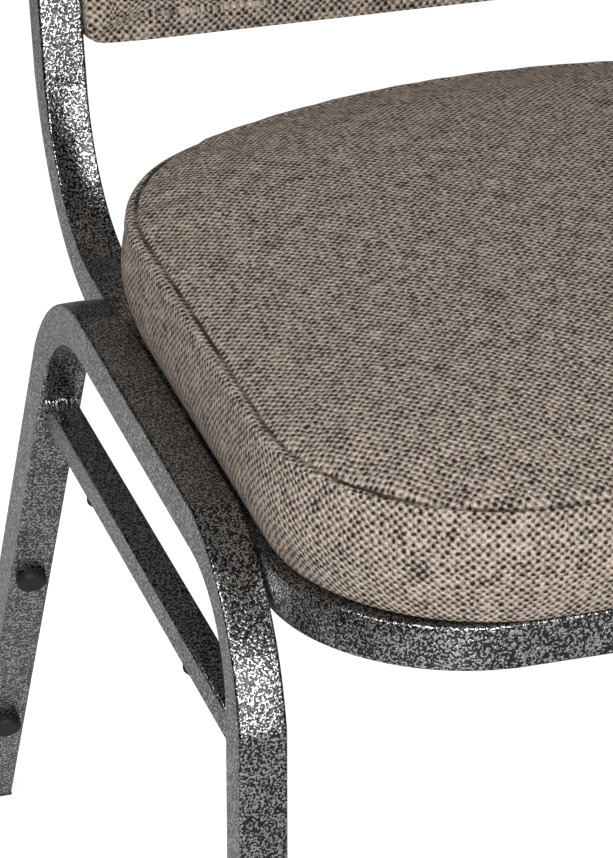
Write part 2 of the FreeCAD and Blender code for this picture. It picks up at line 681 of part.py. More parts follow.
SCREW_LENGTH = "(bar_height + dust_thickness + board_thickness - nut_flange_height)"
seat_screw = turned_body("seat_screw_pattern", [
    ("0", "0 - screw_head_height"), ("screw_head / 2", "0 - screw_head_height"), ("screw_head / 2", "0"),
    ("screw_diameter / 2", "0"), ("screw_diameter / 2", SCREW_LENGTH), ("0", SCREW_LENGTH)])
bar_bottom = vector("0", "0", f"{RAIL_TOP} - bar_height")
add_group("seat_screws", seat_screw, [
    FreeCAD.Placement(spot + bar_bottom, LEVEL) for spot in seat_screw_spots()])


# Back pad outline, in the back's own frame: the hoop's inside, closed by a straight bottom edge.

def pad_outline(inset, depth):
    away = value("tube_width / 2 + pad_gap") + inset
    half = value(RAIL_X)
    slope = value(f"hoop_crown / {RAIL_X}")
    fall = away * math.sqrt(1 + slope ** 2)
    shoulder = value("hoop_length") + slope * away - fall
    peak = value("hoop_length + hoop_crown") - fall
    bottom = value("pad_bottom") + inset
    side = half - away
    corners = [(-side, bottom), (side, bottom), (side, shoulder), (0, peak), (-side, shoulder)]
    low = value("pad_corner")
    high = value("hoop_corner") - away
    radii = [low, low, high, value("hoop_crown_bend") - away, high]
    return closed_outline([back.multVec(FreeCAD.Vector(x, depth, z)) for x, z in corners], radii)


def pad_form(inset, rim, edge, crown):
    """A pad that runs straight from its rim to its edge and then rises to its crown."""
    out = 1 if crown > rim else -1
    band = value("pad_crown_inset")
    straight = Part.makeLoft([pad_outline(inset, rim), pad_outline(inset, edge)], True, True)
    rise = (crown - out * inset) - edge
    rings = [pad_outline(inset + band * inward, edge + rise * outward) for inward, outward in BACK_RISE]
    return straight.fuse(Part.makeLoft(rings, True, False))


def pad_layer(form, near, far):
    """The part of a pad between two depths."""
    reach = 2 * value("hoop_length")
    slab = Part.makeBox(2 * reach, far - near, 2 * reach, FreeCAD.Vector(-reach, near, -reach))
    slab.Placement = back
    return form.common(slab)


def drill_back(shape, spots, diameter):
    """Holes square to the back, right through a board."""
    length = value("hoop_length")
    for spot in spots:
        start = spot - FreeCAD.Vector(0, length / 2, 0)
        tool = Part.makeCylinder(value(diameter) / 2, length, start, FreeCAD.Vector(0, 1, 0))
        tool.Placement = back
        shape = shape.cut(tool)
    return shape


TAB_SCREW_X = f"({RAIL_INNER} - tab_reach / 2)"
tab_spots = [vector(f"{side} * {TAB_SCREW_X}", "core_rear", height)
             for side in SIDES for height in ("tab_low", "hoop_length - tab_high")]
clip_spots = [vector(f"{side} * clip_spread / 2", "core_rear", height)
              for side in SIDES for height in ("clip_low", "hoop_length - clip_high")]
CORE_FRONT = "(core_rear - core_thickness)"
TAB_REAR = "(core_rear + tab_thickness)"
PANEL_FRONT = f"({TAB_REAR} + panel_set)"
PANEL_REAR = f"({PANEL_FRONT} + panel_thickness)"


# Back, front half: plywood core, foam and tweed cover that wraps the core's edges.

UPRIGHT_FRONT = "(0 - tube_width / 2)"
front_edge = value(f"{UPRIGHT_FRONT} - pad_side")
front_crown = value(f"{UPRIGHT_FRONT} - pad_front")
front_faces = [value("core_rear"), front_edge, front_crown]
cover_inset = value("cover_thickness")
foam_inset = value("cover_thickness + foam_gap")

core_step = back.Rotation.multVec(vector("0", "core_thickness", "0"))
core = plate(pad_outline(foam_inset, value(CORE_FRONT)), core_step)
core = drill_back(core, tab_spots, "wood_screw_diameter + 2 * wood_screw_gap")
core = drill_back(core, clip_spots, "clip_diameter + 2 * clip_gap")
add_shape("back_board", core)
front_foam = pad_form(foam_inset, *front_faces)
add_shape("back_front_foam", pad_layer(front_foam, 2 * front_crown, value(CORE_FRONT)))
add_shape("back_front_cover", pad_form(0, *front_faces).cut(pad_form(cover_inset, *front_faces)))


# Back, rear half: hardboard panel, thin foam and tweed cover, clipped on over the tabs.

REAR_EDGE = f"({PANEL_REAR} + panel_side)"
rear_crown = value(f"{REAR_EDGE} + panel_rear")
rear_faces = [value(TAB_REAR), value(REAR_EDGE), rear_crown]
panel_step = back.Rotation.multVec(vector("0", "panel_thickness", "0"))
panel = plate(pad_outline(foam_inset, value(PANEL_FRONT)), panel_step)
add_shape("back_rear_board", drill_back(panel, clip_spots, "clip_diameter + 2 * clip_gap"))
rear_foam = pad_form(foam_inset, *rear_faces)
add_shape("back_rear_foam", pad_layer(rear_foam, value(PANEL_REAR), 2 * rear_crown))
add_shape("back_rear_cover", pad_form(0, *rear_faces).cut(pad_form(cover_inset, *rear_faces)))


# Back fixings: tabs welded to the hoop, screws through them into the core, and push-in clips
# that hold the rear half on.

tab = new_body("tab_pattern", is_subpart=False)
tab_outline = new_sketch(tab, "XZ_Plane", "outline")
draw_rectangle(tab_outline, "tab_reach", "tab_height")
draw_circle(tab_outline, "wood_screw_diameter + 2 * wood_screw_gap", "0", "0")
pad_both_ways(tab, tab_outline, "tab_thickness")
tab_step = vector("0", "tab_thickness / 2", "0")
add_group("back_tabs", tab, [
    back.multiply(FreeCAD.Placement(spot + tab_step, LEVEL)) for spot in tab_spots])

# The turned patterns point along Z, and here that is backwards.
backwards = FreeCAD.Rotation(FreeCAD.Vector(0, 0, 1), FreeCAD.Vector(0, 1, 0))
HEAD_TOP = "(tab_thickness + wood_screw_head_height)"
wood_screw = turned_body("wood_screw_pattern", [
    ("0", "0 - wood_screw_depth"), ("wood_screw_diameter / 2", "0 - wood_screw_depth"),
    ("wood_screw_diameter / 2", "tab_thickness"), ("wood_screw_head / 2", "tab_thickness"),
    ("wood_screw_head / 2", HEAD_TOP), ("0", HEAD_TOP)])
add_group("back_screws", wood_screw, [
    back.multiply(FreeCAD.Placement(spot, backwards)) for spot in tab_spots])

CLIP_SEAT = "(tab_thickness + panel_set)"
CLIP_FLANGE = f"({CLIP_SEAT} - clip_flange_height)"
CLIP_END = f"({CLIP_SEAT} + panel_thickness)"
clip = turned_body("clip_pattern", [
    ("0", "0 - clip_depth"), ("clip_diameter / 2", "0 - clip_depth"),
    ("clip_diameter / 2", CLIP_FLANGE), ("clip_flange / 2", CLIP_FLANGE),
    ("clip_flange / 2", CLIP_SEAT), ("clip_diameter / 2", CLIP_SEAT),
    ("clip_diameter / 2", CLIP_END), ("0", CLIP_END)])
add_group("back_clips", clip, [
    back.multiply(FreeCAD.Placement(spot, backwards)) for spot in clip_spots])


# Glides: plastic pads under the legs, each with a plug up inside the tube.

def glide(label, rake):
    """A glide for a leg at this rake, from the front edge of its pad on the floor."""
    body = new_body(label, is_subpart=False)
    depth = f"(leg_width / cos({rake}))"
    wall = f"((tube_wall + glide_gap) / cos({rake}))"
    top = "(glide_pad + glide_plug)"
    pad_shift = f"(glide_pad * tan({rake}))"
    plug_shift = f"({top} * tan({rake}))"
    front_top = "0" if rake == "0" else f"0 - {pad_shift}"
    pad = new_sketch(body, "YZ_Plane", "pad")
    draw_polygon(pad, [("0", "0"), (depth, "0"), (f"{depth} - {pad_shift}", "glide_pad"),
                       (front_top, "glide_pad")])
    pad_both_ways(body, pad, "leg_width")
    plug = new_sketch(body, "YZ_Plane", "plug")
    draw_polygon(plug, [
        (f"{wall} - {pad_shift}", "glide_pad"), (f"{depth} - {wall} - {pad_shift}", "glide_pad"),
        (f"{depth} - {wall} - {plug_shift}", top), (f"{wall} - {plug_shift}", top)])
    pad_both_ways(body, plug, f"{LEG_BORE} - 2 * glide_gap")
    return body


add_group("front_glides", glide("front_glide_pattern", "0"), [
    FreeCAD.Placement(vector(f"{side} * {LEG_X}", BEHIND_LEG, "0"), LEVEL) for side in SIDES])
add_group("rear_glides", glide("rear_glide_pattern", "rear_rake"), [
    FreeCAD.Placement(rear_leg_face(f"{side} * {LEG_X}", "leg_height"), LEVEL) for side in SIDES])


# Stacking bumpers: plugs in the rear legs' front faces and buttons under the braces.

def bumper(kind):
    """A round head on a stem, from the five sizes of its kind."""
    head, height, rounding = f"{kind}_head", f"{kind}_height", f"{kind}_round"
    stem, stem_length = f"{kind}_stem", f"{kind}_stem_length"
    body = turned_body(f"{kind}_pattern", [
        ("0", f"0 - {stem_length}"), (f"{stem} / 2", f"0 - {stem_length}"), (f"{stem} / 2", "0"),
        (f"{head} / 2", "0"), (f"{head} / 2", height), ("0", height)])
    round_top_edge(body, rounding)
    return body


add_group("rear_leg_bumpers", bumper("bumper"), bumper_places())

brace_down = FreeCAD.Rotation(FreeCAD.Vector(1, 0, 0), 180 - value("brace_tilt"))
button_places = []
for side in SIDES:
    for run in BUTTON_RUNS:
        spot = vector(f"{side} * {LEG_X}", f"{BEHIND_LEG} + {run}", brace_fall(BRACE_LOW, run))
        button_places.append(FreeCAD.Placement(spot, brace_down))
add_group("brace_bumpers", bumper("button"), button_places)


# Check every object, then write one file for each sub-part.

doc.recompute()
for thing in doc.Objects:
    if {"Invalid", "Error"} & set(thing.State):
        raise RuntimeError(f"{thing.Label} failed: {thing.State}")
for piece in subparts:
    if piece.Shape.isNull() or not piece.Shape.isValid():
        raise RuntimeError(f"{piece.Label} has no valid shape")

os.makedirs("parts", exist_ok=True)
for piece in subparts:
    piece.Shape.exportStep(f"parts/{piece.Label}.step")
    print(f"{piece.Label}: {len(piece.Shape.Solids)} solids, {piece.Shape.Volume / 1000:.2f} cm3")
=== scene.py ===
import math

import bmesh
import bpy
from mathutils import Matrix, Vector


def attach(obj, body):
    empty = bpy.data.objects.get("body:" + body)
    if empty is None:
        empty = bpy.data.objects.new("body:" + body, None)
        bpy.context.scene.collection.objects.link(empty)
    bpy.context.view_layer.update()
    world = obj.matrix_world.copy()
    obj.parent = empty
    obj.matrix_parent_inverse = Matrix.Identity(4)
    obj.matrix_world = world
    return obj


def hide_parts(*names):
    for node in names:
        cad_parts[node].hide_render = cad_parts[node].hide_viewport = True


# Stacking banquet chair: a welded square-tube frame in black and silver hammered powder coat, with a
# boxed seat cushion and a padded back in brown tweed.
# Metres, +Z up, and the chair faces -Y. Left and right are as seen from the front.
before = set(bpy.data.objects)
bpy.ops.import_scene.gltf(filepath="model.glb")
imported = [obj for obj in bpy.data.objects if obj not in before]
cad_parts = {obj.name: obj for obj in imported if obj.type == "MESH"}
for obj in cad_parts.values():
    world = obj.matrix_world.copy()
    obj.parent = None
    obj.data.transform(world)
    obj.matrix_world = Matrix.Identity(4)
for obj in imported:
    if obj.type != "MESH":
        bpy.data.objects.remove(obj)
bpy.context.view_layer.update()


# Leg frames
# Each side's front leg, level run and raked rear leg are bent from one 20.5 mm square steel tube.
# Bending flattens the outer wall, hollows the inner one and draws the sides in.

TUBE = 0.0205
TUBE_CORNER = 0.0014
LEG_X = 0.220
LEG_TOP = 0.402
LEG_FRONT = -0.2392
LEG_RUN = 0.2875
LEG_FOOT = 0.0016
FRONT_BEND = 0.058
FRONT_BEND_SINK = 0.0050
REAR_BEND = 0.090
REAR_BEND_SINK = 0.0020
REAR_RAKE = math.radians(29.3)
INNER_HOLLOW = 0.0030
INNER_SHARE = 0.3
OUTER_BULGE = 0.0004
SIDE_SINK = 0.0004
SINK_FULLNESS = 0.75
NEAR_WALL = 1.01
EDGE_LOOP = 0.002
CUT_CLEARANCE = 1e-5


def linear(colour):
    """sRGB hex to linear colour."""
    parts = [int(colour[i:i + 2], 16) / 255 for i in (0, 2, 4)]
    return [p / 12.92 if p <= 0.04045 else ((p + 0.055) / 1.055) ** 2.4 for p in parts] + [1]


def add(tree, kind, inputs=(), **settings):
    """A shader node with its settings, its inputs set to values or linked to sockets."""
    node = tree.nodes.new(kind)
    for name, setting in settings.items():
        setattr(node, name, setting)
    for socket, source in dict(inputs).items():
        if isinstance(source, bpy.types.NodeSocket):
            tree.links.new(source, node.inputs[socket])
        else:
            node.inputs[socket].default_value = source
    return node


def new_material(name, surface):
    """A material whose tree is drawn by a function that returns its surface's shader."""
    material = bpy.data.materials.new(name)
    material.use_nodes = True
    tree = material.node_tree
    tree.nodes.clear()
    add(tree, "ShaderNodeOutputMaterial", {"Surface": surface(tree).outputs[0]})
    return material


def hammered_coat(tree):
    """Hammered powder coat on steel: silver flake over a black ground, glossy, and lumpy as it flowed."""
    place = add(tree, "ShaderNodeTexCoord").outputs["Object"]
    lump = add(tree, "ShaderNodeTexNoise", {
        "Vector": place, "Scale": 1 / 0.00105, "Detail": 1.0, "Roughness": 0.5, "Distortion": 0.4})
    drift = add(tree, "ShaderNodeTexNoise", {"Vector": place, "Scale": 1 / 0.012, "Detail": 1.0})
    level = add(tree, "ShaderNodeMath", {0: drift.outputs["Fac"], 1: 0.12, 2: lump.outputs["Fac"]},
                operation="MULTIPLY_ADD")
    flake = add(tree, "ShaderNodeMapRange", {
        "Value": level.outputs[0], "From Min": 0.57, "From Max": 0.65}, interpolation_type="SMOOTHSTEP")
    tint = add(tree, "ShaderNodeMix", {
        "Factor": flake.outputs["Result"], 6: linear("020202"), 7: linear("D4D4D3")}, data_type="RGBA")
    bump = add(tree, "ShaderNodeBump", {"Height": lump.outputs["Fac"], "Strength": 0.6, "Distance": 0.0005})
    return add(tree, "ShaderNodeBsdfPrincipled", {
        "Base Color": tint.outputs[2], "Metallic": flake.outputs["Result"], "Roughness": 0.22,
        "Specular IOR Level": 0.7, "Normal": bump.outputs["Normal"]})


coat = new_material("black_silver_hammered_powder_coat", hammered_coat)


def finish_mesh(name, bm, material, smooth=True):
    """The modelled shape as an object, with outward faces."""
    bmesh.ops.recalc_face_normals(bm, faces=bm.faces)
    for face in bm.faces:
        face.smooth = smooth
    mesh = bpy.data.meshes.new(name)
    bm.to_mesh(mesh)
    bm.free()
    mesh.materials.append(material)
    piece = bpy.data.objects.new(name, mesh)
    bpy.context.scene.collection.objects.link(piece)
    return piece


def square_ring(width, corner):
    """Corners of a square tube's section: rounded corners, and points along the flats between them."""
    half = width / 2
    points = []
    for quarter in range(4):
        turn = Matrix.Rotation(math.radians(90 * quarter), 2)
        for share in (-0.6, -0.3, 0, 0.3, 0.6):
            points.append(turn @ Vector((half, share * half)))
        for degrees in (0, 22.5, 45, 67.5, 90):
            angle = math.radians(degrees)
            points.append(turn @ (Vector((half - corner, half - corner)) +
                                  corner * Vector((math.cos(angle), math.sin(angle)))))
    return points


def bent_tube(width, corner, points, turns):
    """A square tube along straight runs, with a bend at each point between the ends: its radius, and how far
    its outer wall is flattened. A ring of edges beside each bend keeps the straight runs flat in shading.
    Faces that the extrusions leave inside the tube are taken out."""
    bm = bmesh.new()
    across = Vector((1, 0, 0))
    way = (points[1] - points[0]).normalized()
    up = way.cross(across)
    ring = [bm.verts.new(points[0] + across * x + up * y) for x, y in square_ring(width, corner)]
    end = [bm.faces.new(ring)]
    spot = points[0]

    def run_to(*goals):
        """Lengthens the tube straight on to each place in turn."""
        nonlocal end, spot
        for goal in goals:
            grown = bmesh.ops.extrude_face_region(bm, geom=end)["geom"]
            bmesh.ops.translate(bm, verts=[part for part in grown if isinstance(part, bmesh.types.BMVert)],
                                vec=goal - spot)
            end = [part for part in grown if isinstance(part, bmesh.types.BMFace)]
            spot = goal

    bends = []
    for point, after, (radius, sink) in zip(points[1:], points[2:], turns):
        onward = (after - point).normalized()
        angle = way.angle(onward)
        axis = way.cross(onward).normalized()
        reach = radius * math.tan(angle / 2)
        run_to(point - way * (reach + EDGE_LOOP), point - way * reach)
        centre = spot + axis.cross(way) * radius
        if sink:
            bends.append((centre, axis, radius, angle, (spot - centre).normalized(), sink))
        grown = bmesh.ops.spin(bm, geom=end, cent=centre, axis=axis, angle=angle,
                               steps=int(math.degrees(angle) / 2) + 2)["geom_last"]
        end = [part for part in grown if isinstance(part, bmesh.types.BMFace)]
        spot = point + onward * reach
        way = onward
        run_to(spot + way * EDGE_LOOP)
    run_to(points[-1])
    inner = [face for face in bm.faces if all(len(edge.link_faces) > 2 for edge in face.edges)]
    bmesh.ops.delete(bm, geom=inner, context="FACES_ONLY")
    for bend in bends:
        draw_in_walls(bm, width, *bend)
    return bm


def draw_in_walls(bm, width, centre, axis, radius, angle, begin, sink):
    """Flattens the outer wall of one bend, moves the inner one in by a share of that and hollows it, and
    draws the sides in."""
    for vert in bm.verts:
        offset = vert.co - centre
        side = offset.dot(axis) / (width / 2)
        arm = offset - axis * side * width / 2
        height = (arm.length - radius) / (width / 2)
        turned = math.atan2(begin.cross(arm).dot(axis), begin.dot(arm)) / angle
        if max(abs(side), abs(height)) < NEAR_WALL and 0 < turned < 1:
            drawn = math.sin(math.pi * turned) ** SINK_FULLNESS
            domed = (OUTER_BULGE if height > 0 else INNER_HOLLOW) * max(0, 1 - side ** 2) * abs(height)
            drop = sink * (height if height > 0 else -INNER_SHARE * height)
            vert.co += arm.normalized() * drawn * (domed - drop)
            vert.co -= axis * side * SIDE_SINK * drawn


def add_tube(node, bm):
    """A coated tube in place of its CAD node, its flats kept flat in shading beside the rounded corners."""
    piece = finish_mesh(f"{node}_coated", bm, coat)
    piece.modifiers.new("flat_sides", "WEIGHTED_NORMAL").weight = 80
    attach(piece, "root")
    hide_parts(node)


LEG_MIDDLE = LEG_FRONT + TUBE / 2
RUN_MIDDLE = LEG_TOP - TUBE / 2
REAR_CORNER = LEG_FRONT + LEG_RUN + (math.tan(REAR_RAKE) + 1 / math.cos(REAR_RAKE)) * TUBE / 2
BELOW_FLOOR = -0.03
SIDES = (("left", -1), ("right", 1))

for name, side in SIDES:
    rear_end = REAR_CORNER + (RUN_MIDDLE - BELOW_FLOOR) * math.tan(REAR_RAKE)
    corners = ((LEG_MIDDLE, LEG_FOOT), (LEG_MIDDLE, RUN_MIDDLE), (REAR_CORNER, RUN_MIDDLE),
               (rear_end, BELOW_FLOOR))
    bm = bent_tube(TUBE, TUBE_CORNER, [Vector((side * LEG_X, y, z)) for y, z in corners], (
        (FRONT_BEND, FRONT_BEND_SINK), (REAR_BEND, REAR_BEND_SINK)))
    cut = bmesh.ops.bisect_plane(bm, geom=bm.verts[:] + bm.edges[:] + bm.faces[:], clear_inner=True,
                                 plane_co=(0, 0, LEG_FOOT - CUT_CLEARANCE), plane_no=(0, 0, 1))
    bmesh.ops.holes_fill(bm, edges=[part for part in cut["geom_cut"] if isinstance(part, bmesh.types.BMEdge)])
    add_tube(f"leg_frame_{name}", bm)


# Braces
# A 14 mm square tube on each side ties the front leg to the rear leg, its ends welded on.

BRACE = 0.014
BRACE_CORNER = 0.0012
BRACE_DROP = 0.0736
BRACE_TILT = math.tan(math.radians(1))
BRACE_SET_IN = 0.006


def brace_spot(side, run, drop):
    """A place along the brace, behind the front leg's front face and below the brace's top."""
    return Vector((side * LEG_X, LEG_FRONT + run, LEG_TOP - BRACE_DROP - drop - run * BRACE_TILT))


def brace_run(drop):
    """Where the brace meets the rear leg, at a drop below its top."""
    return (LEG_RUN + (BRACE_DROP + drop) * math.tan(REAR_RAKE)) / (1 - BRACE_TILT * math.tan(REAR_RAKE))


for name, side in SIDES:
    ends = (TUBE - BRACE_SET_IN / 2, brace_run(BRACE / 2) + BRACE_SET_IN)
    line = [brace_spot(side, run, BRACE / 2) for run in ends]
    add_tube(f"brace_{name}", bent_tube(BRACE, BRACE_CORNER, line, ()))


# Front rail
# One tube bent to a U under the seat's front edge, butted on to the hoop's side rails.

RAIL_X = 0.1995
RAIL_Z = 0.38475
RAIL_FRONT = -0.27595
RAIL_CORNER = 0.070
RAIL_CORNER_SINK = 0.0010
JOINT_Y = -0.0792

corners = ((-RAIL_X, JOINT_Y), (-RAIL_X, RAIL_FRONT), (RAIL_X, RAIL_FRONT), (RAIL_X, JOINT_Y))
add_tube("seat_front_rail", bent_tube(TUBE, TUBE_CORNER, [Vector((x, y, RAIL_Z)) for x, y in corners],
                                      2 * [(RAIL_CORNER, RAIL_CORNER_SINK)]))


# Back hoop
# Side rails, leaning uprights and the crowned top are one tube, bent in two planes.

LEAN = math.radians(12.2)
BACK_Y = 0.14707
BACK = Matrix.Translation((0, BACK_Y, RAIL_Z)) @ Matrix.Rotation(-LEAN, 4, "X")
HOOP_LENGTH = 0.524
HOOP_PEAK = 0.552
UPRIGHT_BEND = 0.090
UPRIGHT_BEND_SINK = 0.0010
HOOP_CORNER = 0.095
HOOP_CORNER_SINK = 0.0010
HOOP_CROWN_BEND = 0.500

corners = ((-RAIL_X, 0), (-RAIL_X, HOOP_LENGTH), (0, HOOP_PEAK), (RAIL_X, HOOP_LENGTH), (RAIL_X, 0))
hoop_path = [Vector((-RAIL_X, JOINT_Y, RAIL_Z)), *(BACK @ Vector((x, 0, z)) for x, z in corners),
             Vector((RAIL_X, JOINT_Y, RAIL_Z))]
add_tube("back_hoop", bent_tube(TUBE, TUBE_CORNER, hoop_path, (
    (UPRIGHT_BEND, UPRIGHT_BEND_SINK), (HOOP_CORNER, HOOP_CORNER_SINK), (HOOP_CROWN_BEND, 0),
    (HOOP_CORNER, HOOP_CORNER_SINK), (UPRIGHT_BEND, UPRIGHT_BEND_SINK))))


# Welds
# Rippled beads run round the brace ends, and under the leg runs where they lie against the side rails.

BEAD_RADIUS = 0.0019
BEAD_STEP = 0.0016
BEAD_RIPPLE = 0.12
RIPPLE_TURN = 2.4
RUN_BEADS = ((-0.1565, -0.1015), (-0.0472, 0.0078))


def weld(bm, start, end):
    """A row of overlapping drops of filler."""
    steps = max(1, round((end - start).length / BEAD_STEP))
    for step in range(steps + 1):
        swell = 1 + BEAD_RIPPLE * math.sin(RIPPLE_TURN * step)
        drop = Matrix.Translation(start.lerp(end, step / steps)) @ Matrix.Scale(swell, 4)
        bmesh.ops.create_icosphere(bm, subdivisions=2, radius=BEAD_RADIUS, matrix=drop)


bm = bmesh.new()
for name, side in SIDES:
    for low, high in ((TUBE, TUBE), (brace_run(BRACE), brace_run(0))):
        ring = []
        for across, run, drop in ((-1, high, 0), (1, high, 0), (1, low, BRACE), (-1, low, BRACE)):
            ring.append(brace_spot(side, run, drop) + Vector((across * BRACE / 2, 0, 0)))
        for i, corner in enumerate(ring):
            weld(bm, ring[i - 1], corner)
    for start, end in RUN_BEADS:
        edge = side * (LEG_X - TUBE / 2 + BEAD_RADIUS / 2)
        weld(bm, Vector((edge, start, LEG_TOP - TUBE)), Vector((edge, end, LEG_TOP - TUBE)))
welds = finish_mesh("weld_beads_coated", bm, coat)
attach(welds, "root")
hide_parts("brace_welds", "leg_welds")


# Cross bars and tabs
# Flat tubes under the seat and steel tabs inside the hoop, welded in and coated with the frame.

def dress(material, *nodes):
    """Gives CAD pieces that stay in sight their material."""
    for node in nodes:
        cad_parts[node].data.materials.clear()
        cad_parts[node].data.materials.append(material)


dress(coat, "seat_cross_bar_front", "seat_cross_bar_rear", "back_tabs")


# Seat cushion
# A boxed cover of tweed over foam: a crowned top, sewn all round to an upright side band. The seam
# allowance is turned down behind the band at the sides, and up under the top along front and rear.

SEAT_BOTTOM = 0.3958
SEAT_CORNER = 0.095
SEAT_ARCS = [
    ((-0.116, -0.1992), SEAT_CORNER, 180, 270),
    ((0.116, -0.1992), SEAT_CORNER, 270, 360),
    ((0.096, -0.01482), 0.115, 0, 63.48),
    ((0, -0.2072), 0.330, 63.48, 116.52),
    ((-0.096, -0.01482), 0.115, 116.52, 180),
]
SEAT_RINGS = [
    (0.0100, 0.0000), (0.0062, 0.0002), (0.0048, 0.0022), (0.0034, 0.0050), (0.0020, 0.0085),
    (-0.0002, 0.0150), (-0.0021, 0.0220), (-0.0030, 0.0290), (-0.0028, 0.0350), (-0.0021, 0.0400),
    (-0.0014, 0.0438), (-0.0012, 0.0450), (-0.0009, 0.0470), (-0.0005, 0.0494), (-0.0002, 0.0514),
    (0.0000, 0.0530)]
SEAT_TOP_RINGS = [0.0016, 0.0036, 0.0060, 0.0080, 0.0092, 0.0120, 0.0160]
SIDE_SEAM_INSET = 0.0035
SEAT_BAND = 0.080
SEAT_RISE = 0.0133
SEAT_SHAPE = ((0, 0), (0.06, 0.27), (0.12, 0.44), (0.25, 0.65), (0.45, 0.81), (0.7, 0.93), (1, 1))
SEAT_PRESSURE = 4.0
SEAT_MOST_MOVE = 0.025
TACKED_RINGS = 3
CELLS = 56
PRESS_FRAMES = 20


def tweed(tree):
    """Plain-woven tweed: light and dark yarns crossing one over one, each uneven along its length. A
    thin dark line of painted shade runs along the seam, broken by noise.
    """
    warp_yarn = 0.0019
    weft_yarn = 0.0019
    slub_length = 0.013
    cloth = add(tree, "ShaderNodeUVMap", uv_map="cloth").outputs["UV"]
    wander = add(tree, "ShaderNodeTexNoise", {"Vector": cloth, "Scale": 1 / 0.005, "Detail": 1.0})
    centred = add(tree, "ShaderNodeVectorMath", {0: wander.outputs["Color"], 1: (0.5, 0.5, 0.5)},
                  operation="SUBTRACT")
    bent = add(tree, "ShaderNodeVectorMath", {0: centred.outputs[0], 1: (0.0020, 0.0020, 0), 2: cloth},
               operation="MULTIPLY_ADD")
    turns = add(tree, "ShaderNodeVectorMath", {
        0: bent.outputs[0], 1: (math.pi / warp_yarn, math.pi / weft_yarn, 0)}, operation="MULTIPLY")
    axes = add(tree, "ShaderNodeSeparateXYZ", {0: turns.outputs[0]})
    warp = add(tree, "ShaderNodeMath", {0: axes.outputs["X"]}, operation="SINE")
    weft = add(tree, "ShaderNodeMath", {0: axes.outputs["Y"]}, operation="SINE")
    level = add(tree, "ShaderNodeMath", {0: warp.outputs[0], 1: weft.outputs[0]}, operation="MULTIPLY")
    for along in ((warp_yarn, slub_length), (slub_length, weft_yarn)):
        drawn = add(tree, "ShaderNodeVectorMath", {0: bent.outputs[0], 1: (1 / along[0], 1 / along[1], 1)},
                    operation="MULTIPLY")
        slub = add(tree, "ShaderNodeTexNoise", {"Vector": drawn.outputs[0], "Scale": 1.0, "Detail": 2.0})
        uneven = add(tree, "ShaderNodeMath", {0: slub.outputs["Fac"], 1: 0.5}, operation="SUBTRACT")
        level = add(tree, "ShaderNodeMath", {0: uneven.outputs[0], 1: 2.4, 2: level.outputs[0]},
                    operation="MULTIPLY_ADD")
    fibre = add(tree, "ShaderNodeTexNoise", {"Vector": cloth, "Scale": 1 / 0.0007, "Detail": 1.0})
    level = add(tree, "ShaderNodeMath", {0: fibre.outputs["Fac"], 1: 1.2, 2: level.outputs[0]},
                operation="MULTIPLY_ADD")
    share = add(tree, "ShaderNodeMapRange", {"Value": level.outputs[0], "From Min": -0.25, "From Max": 1.3})
    tint = add(tree, "ShaderNodeMix", {
        "Factor": share.outputs["Result"], 6: linear("1A1410"), 7: linear("D2C0B0")}, data_type="RGBA")
    # Painted shade: within about a millimetre of the seam the cloth darkens towards 140E0B, more in some
    # places than others along it, standing in for the shade in the seam's groove.
    seam = add(tree, "ShaderNodeAttribute", attribute_name="seam").outputs["Fac"]
    away = add(tree, "ShaderNodeMath", {0: seam}, operation="ABSOLUTE")
    place = add(tree, "ShaderNodeTexCoord").outputs["Object"]
    seam_shade_breaks = add(tree, "ShaderNodeTexNoise", {"Vector": place, "Scale": 1 / 0.020, "Detail": 1.0})
    seam_shade_strength = add(tree, "ShaderNodeMapRange", {
        "Value": seam_shade_breaks.outputs["Fac"], "From Min": 0.38, "From Max": 0.62, "To Min": 0.5, "To Max": 0.95})
    seam_painted_shade = add(tree, "ShaderNodeMapRange", {
        "Value": away.outputs[0], "From Min": 0.0004, "From Max": 0.0012, "To Min": seam_shade_strength.outputs["Result"],
        "To Max": 0.0}, interpolation_type="SMOOTHSTEP")
    shaded = add(tree, "ShaderNodeMix", {
        "Factor": seam_painted_shade.outputs["Result"], 6: tint.outputs[2], 7: linear("140E0B")}, data_type="RGBA")
    bump = add(tree, "ShaderNodeBump", {"Height": level.outputs[0], "Strength": 1.0, "Distance": 0.0008})
    return add(tree, "ShaderNodeBsdfPrincipled", {
        "Base Color": shaded.outputs[2], "Roughness": 0.9, "Specular IOR Level": 0.15, "Sheen Weight": 0.08,
        "Normal": bump.outputs["Normal"]})


brown_tweed = new_material("brown_tweed_plain_weave", tweed)


def outline_points(arcs, cells):
    """Places round an outline, with outward directions and lengths walked: four sides of as many cells."""
    walk = []
    for centre, radius, start, end in arcs:
        for step in range(int(abs(end - start)) + 2):
            angle = math.radians(start + (end - start) * step / (int(abs(end - start)) + 1))
            out = Vector((math.cos(angle), math.sin(angle)))
            walk.append((Vector(centre) + out * radius, out))
    corners = [max(range(len(walk)), key=lambda i: walk[i][1].dot(Vector(way)))
               for way in ((-1, -1), (1, -1), (1, 1), (-1, 1))]
    walk = walk[corners[0]:] + walk[:corners[0]]
    corners = [(i - corners[0]) % len(walk) for i in corners] + [len(walk)]
    walk.append(walk[0])
    walked = [0]
    for (here, _), (there, _) in zip(walk, walk[1:]):
        walked.append(walked[-1] + (there - here).length)
    points = []
    for first, last in zip(corners, corners[1:]):
        for cell in range(cells):
            goal = walked[first] + (walked[last] - walked[first]) * cell / cells
            i = next(i for i in range(first, last) if walked[i + 1] > goal)
            share = (goal - walked[i]) / (walked[i + 1] - walked[i])
            out = walk[i][1].lerp(walk[i + 1][1], share).normalized()
            points.append((walk[i][0].lerp(walk[i + 1][0], share), out, goal))
    return points, walked[-1]


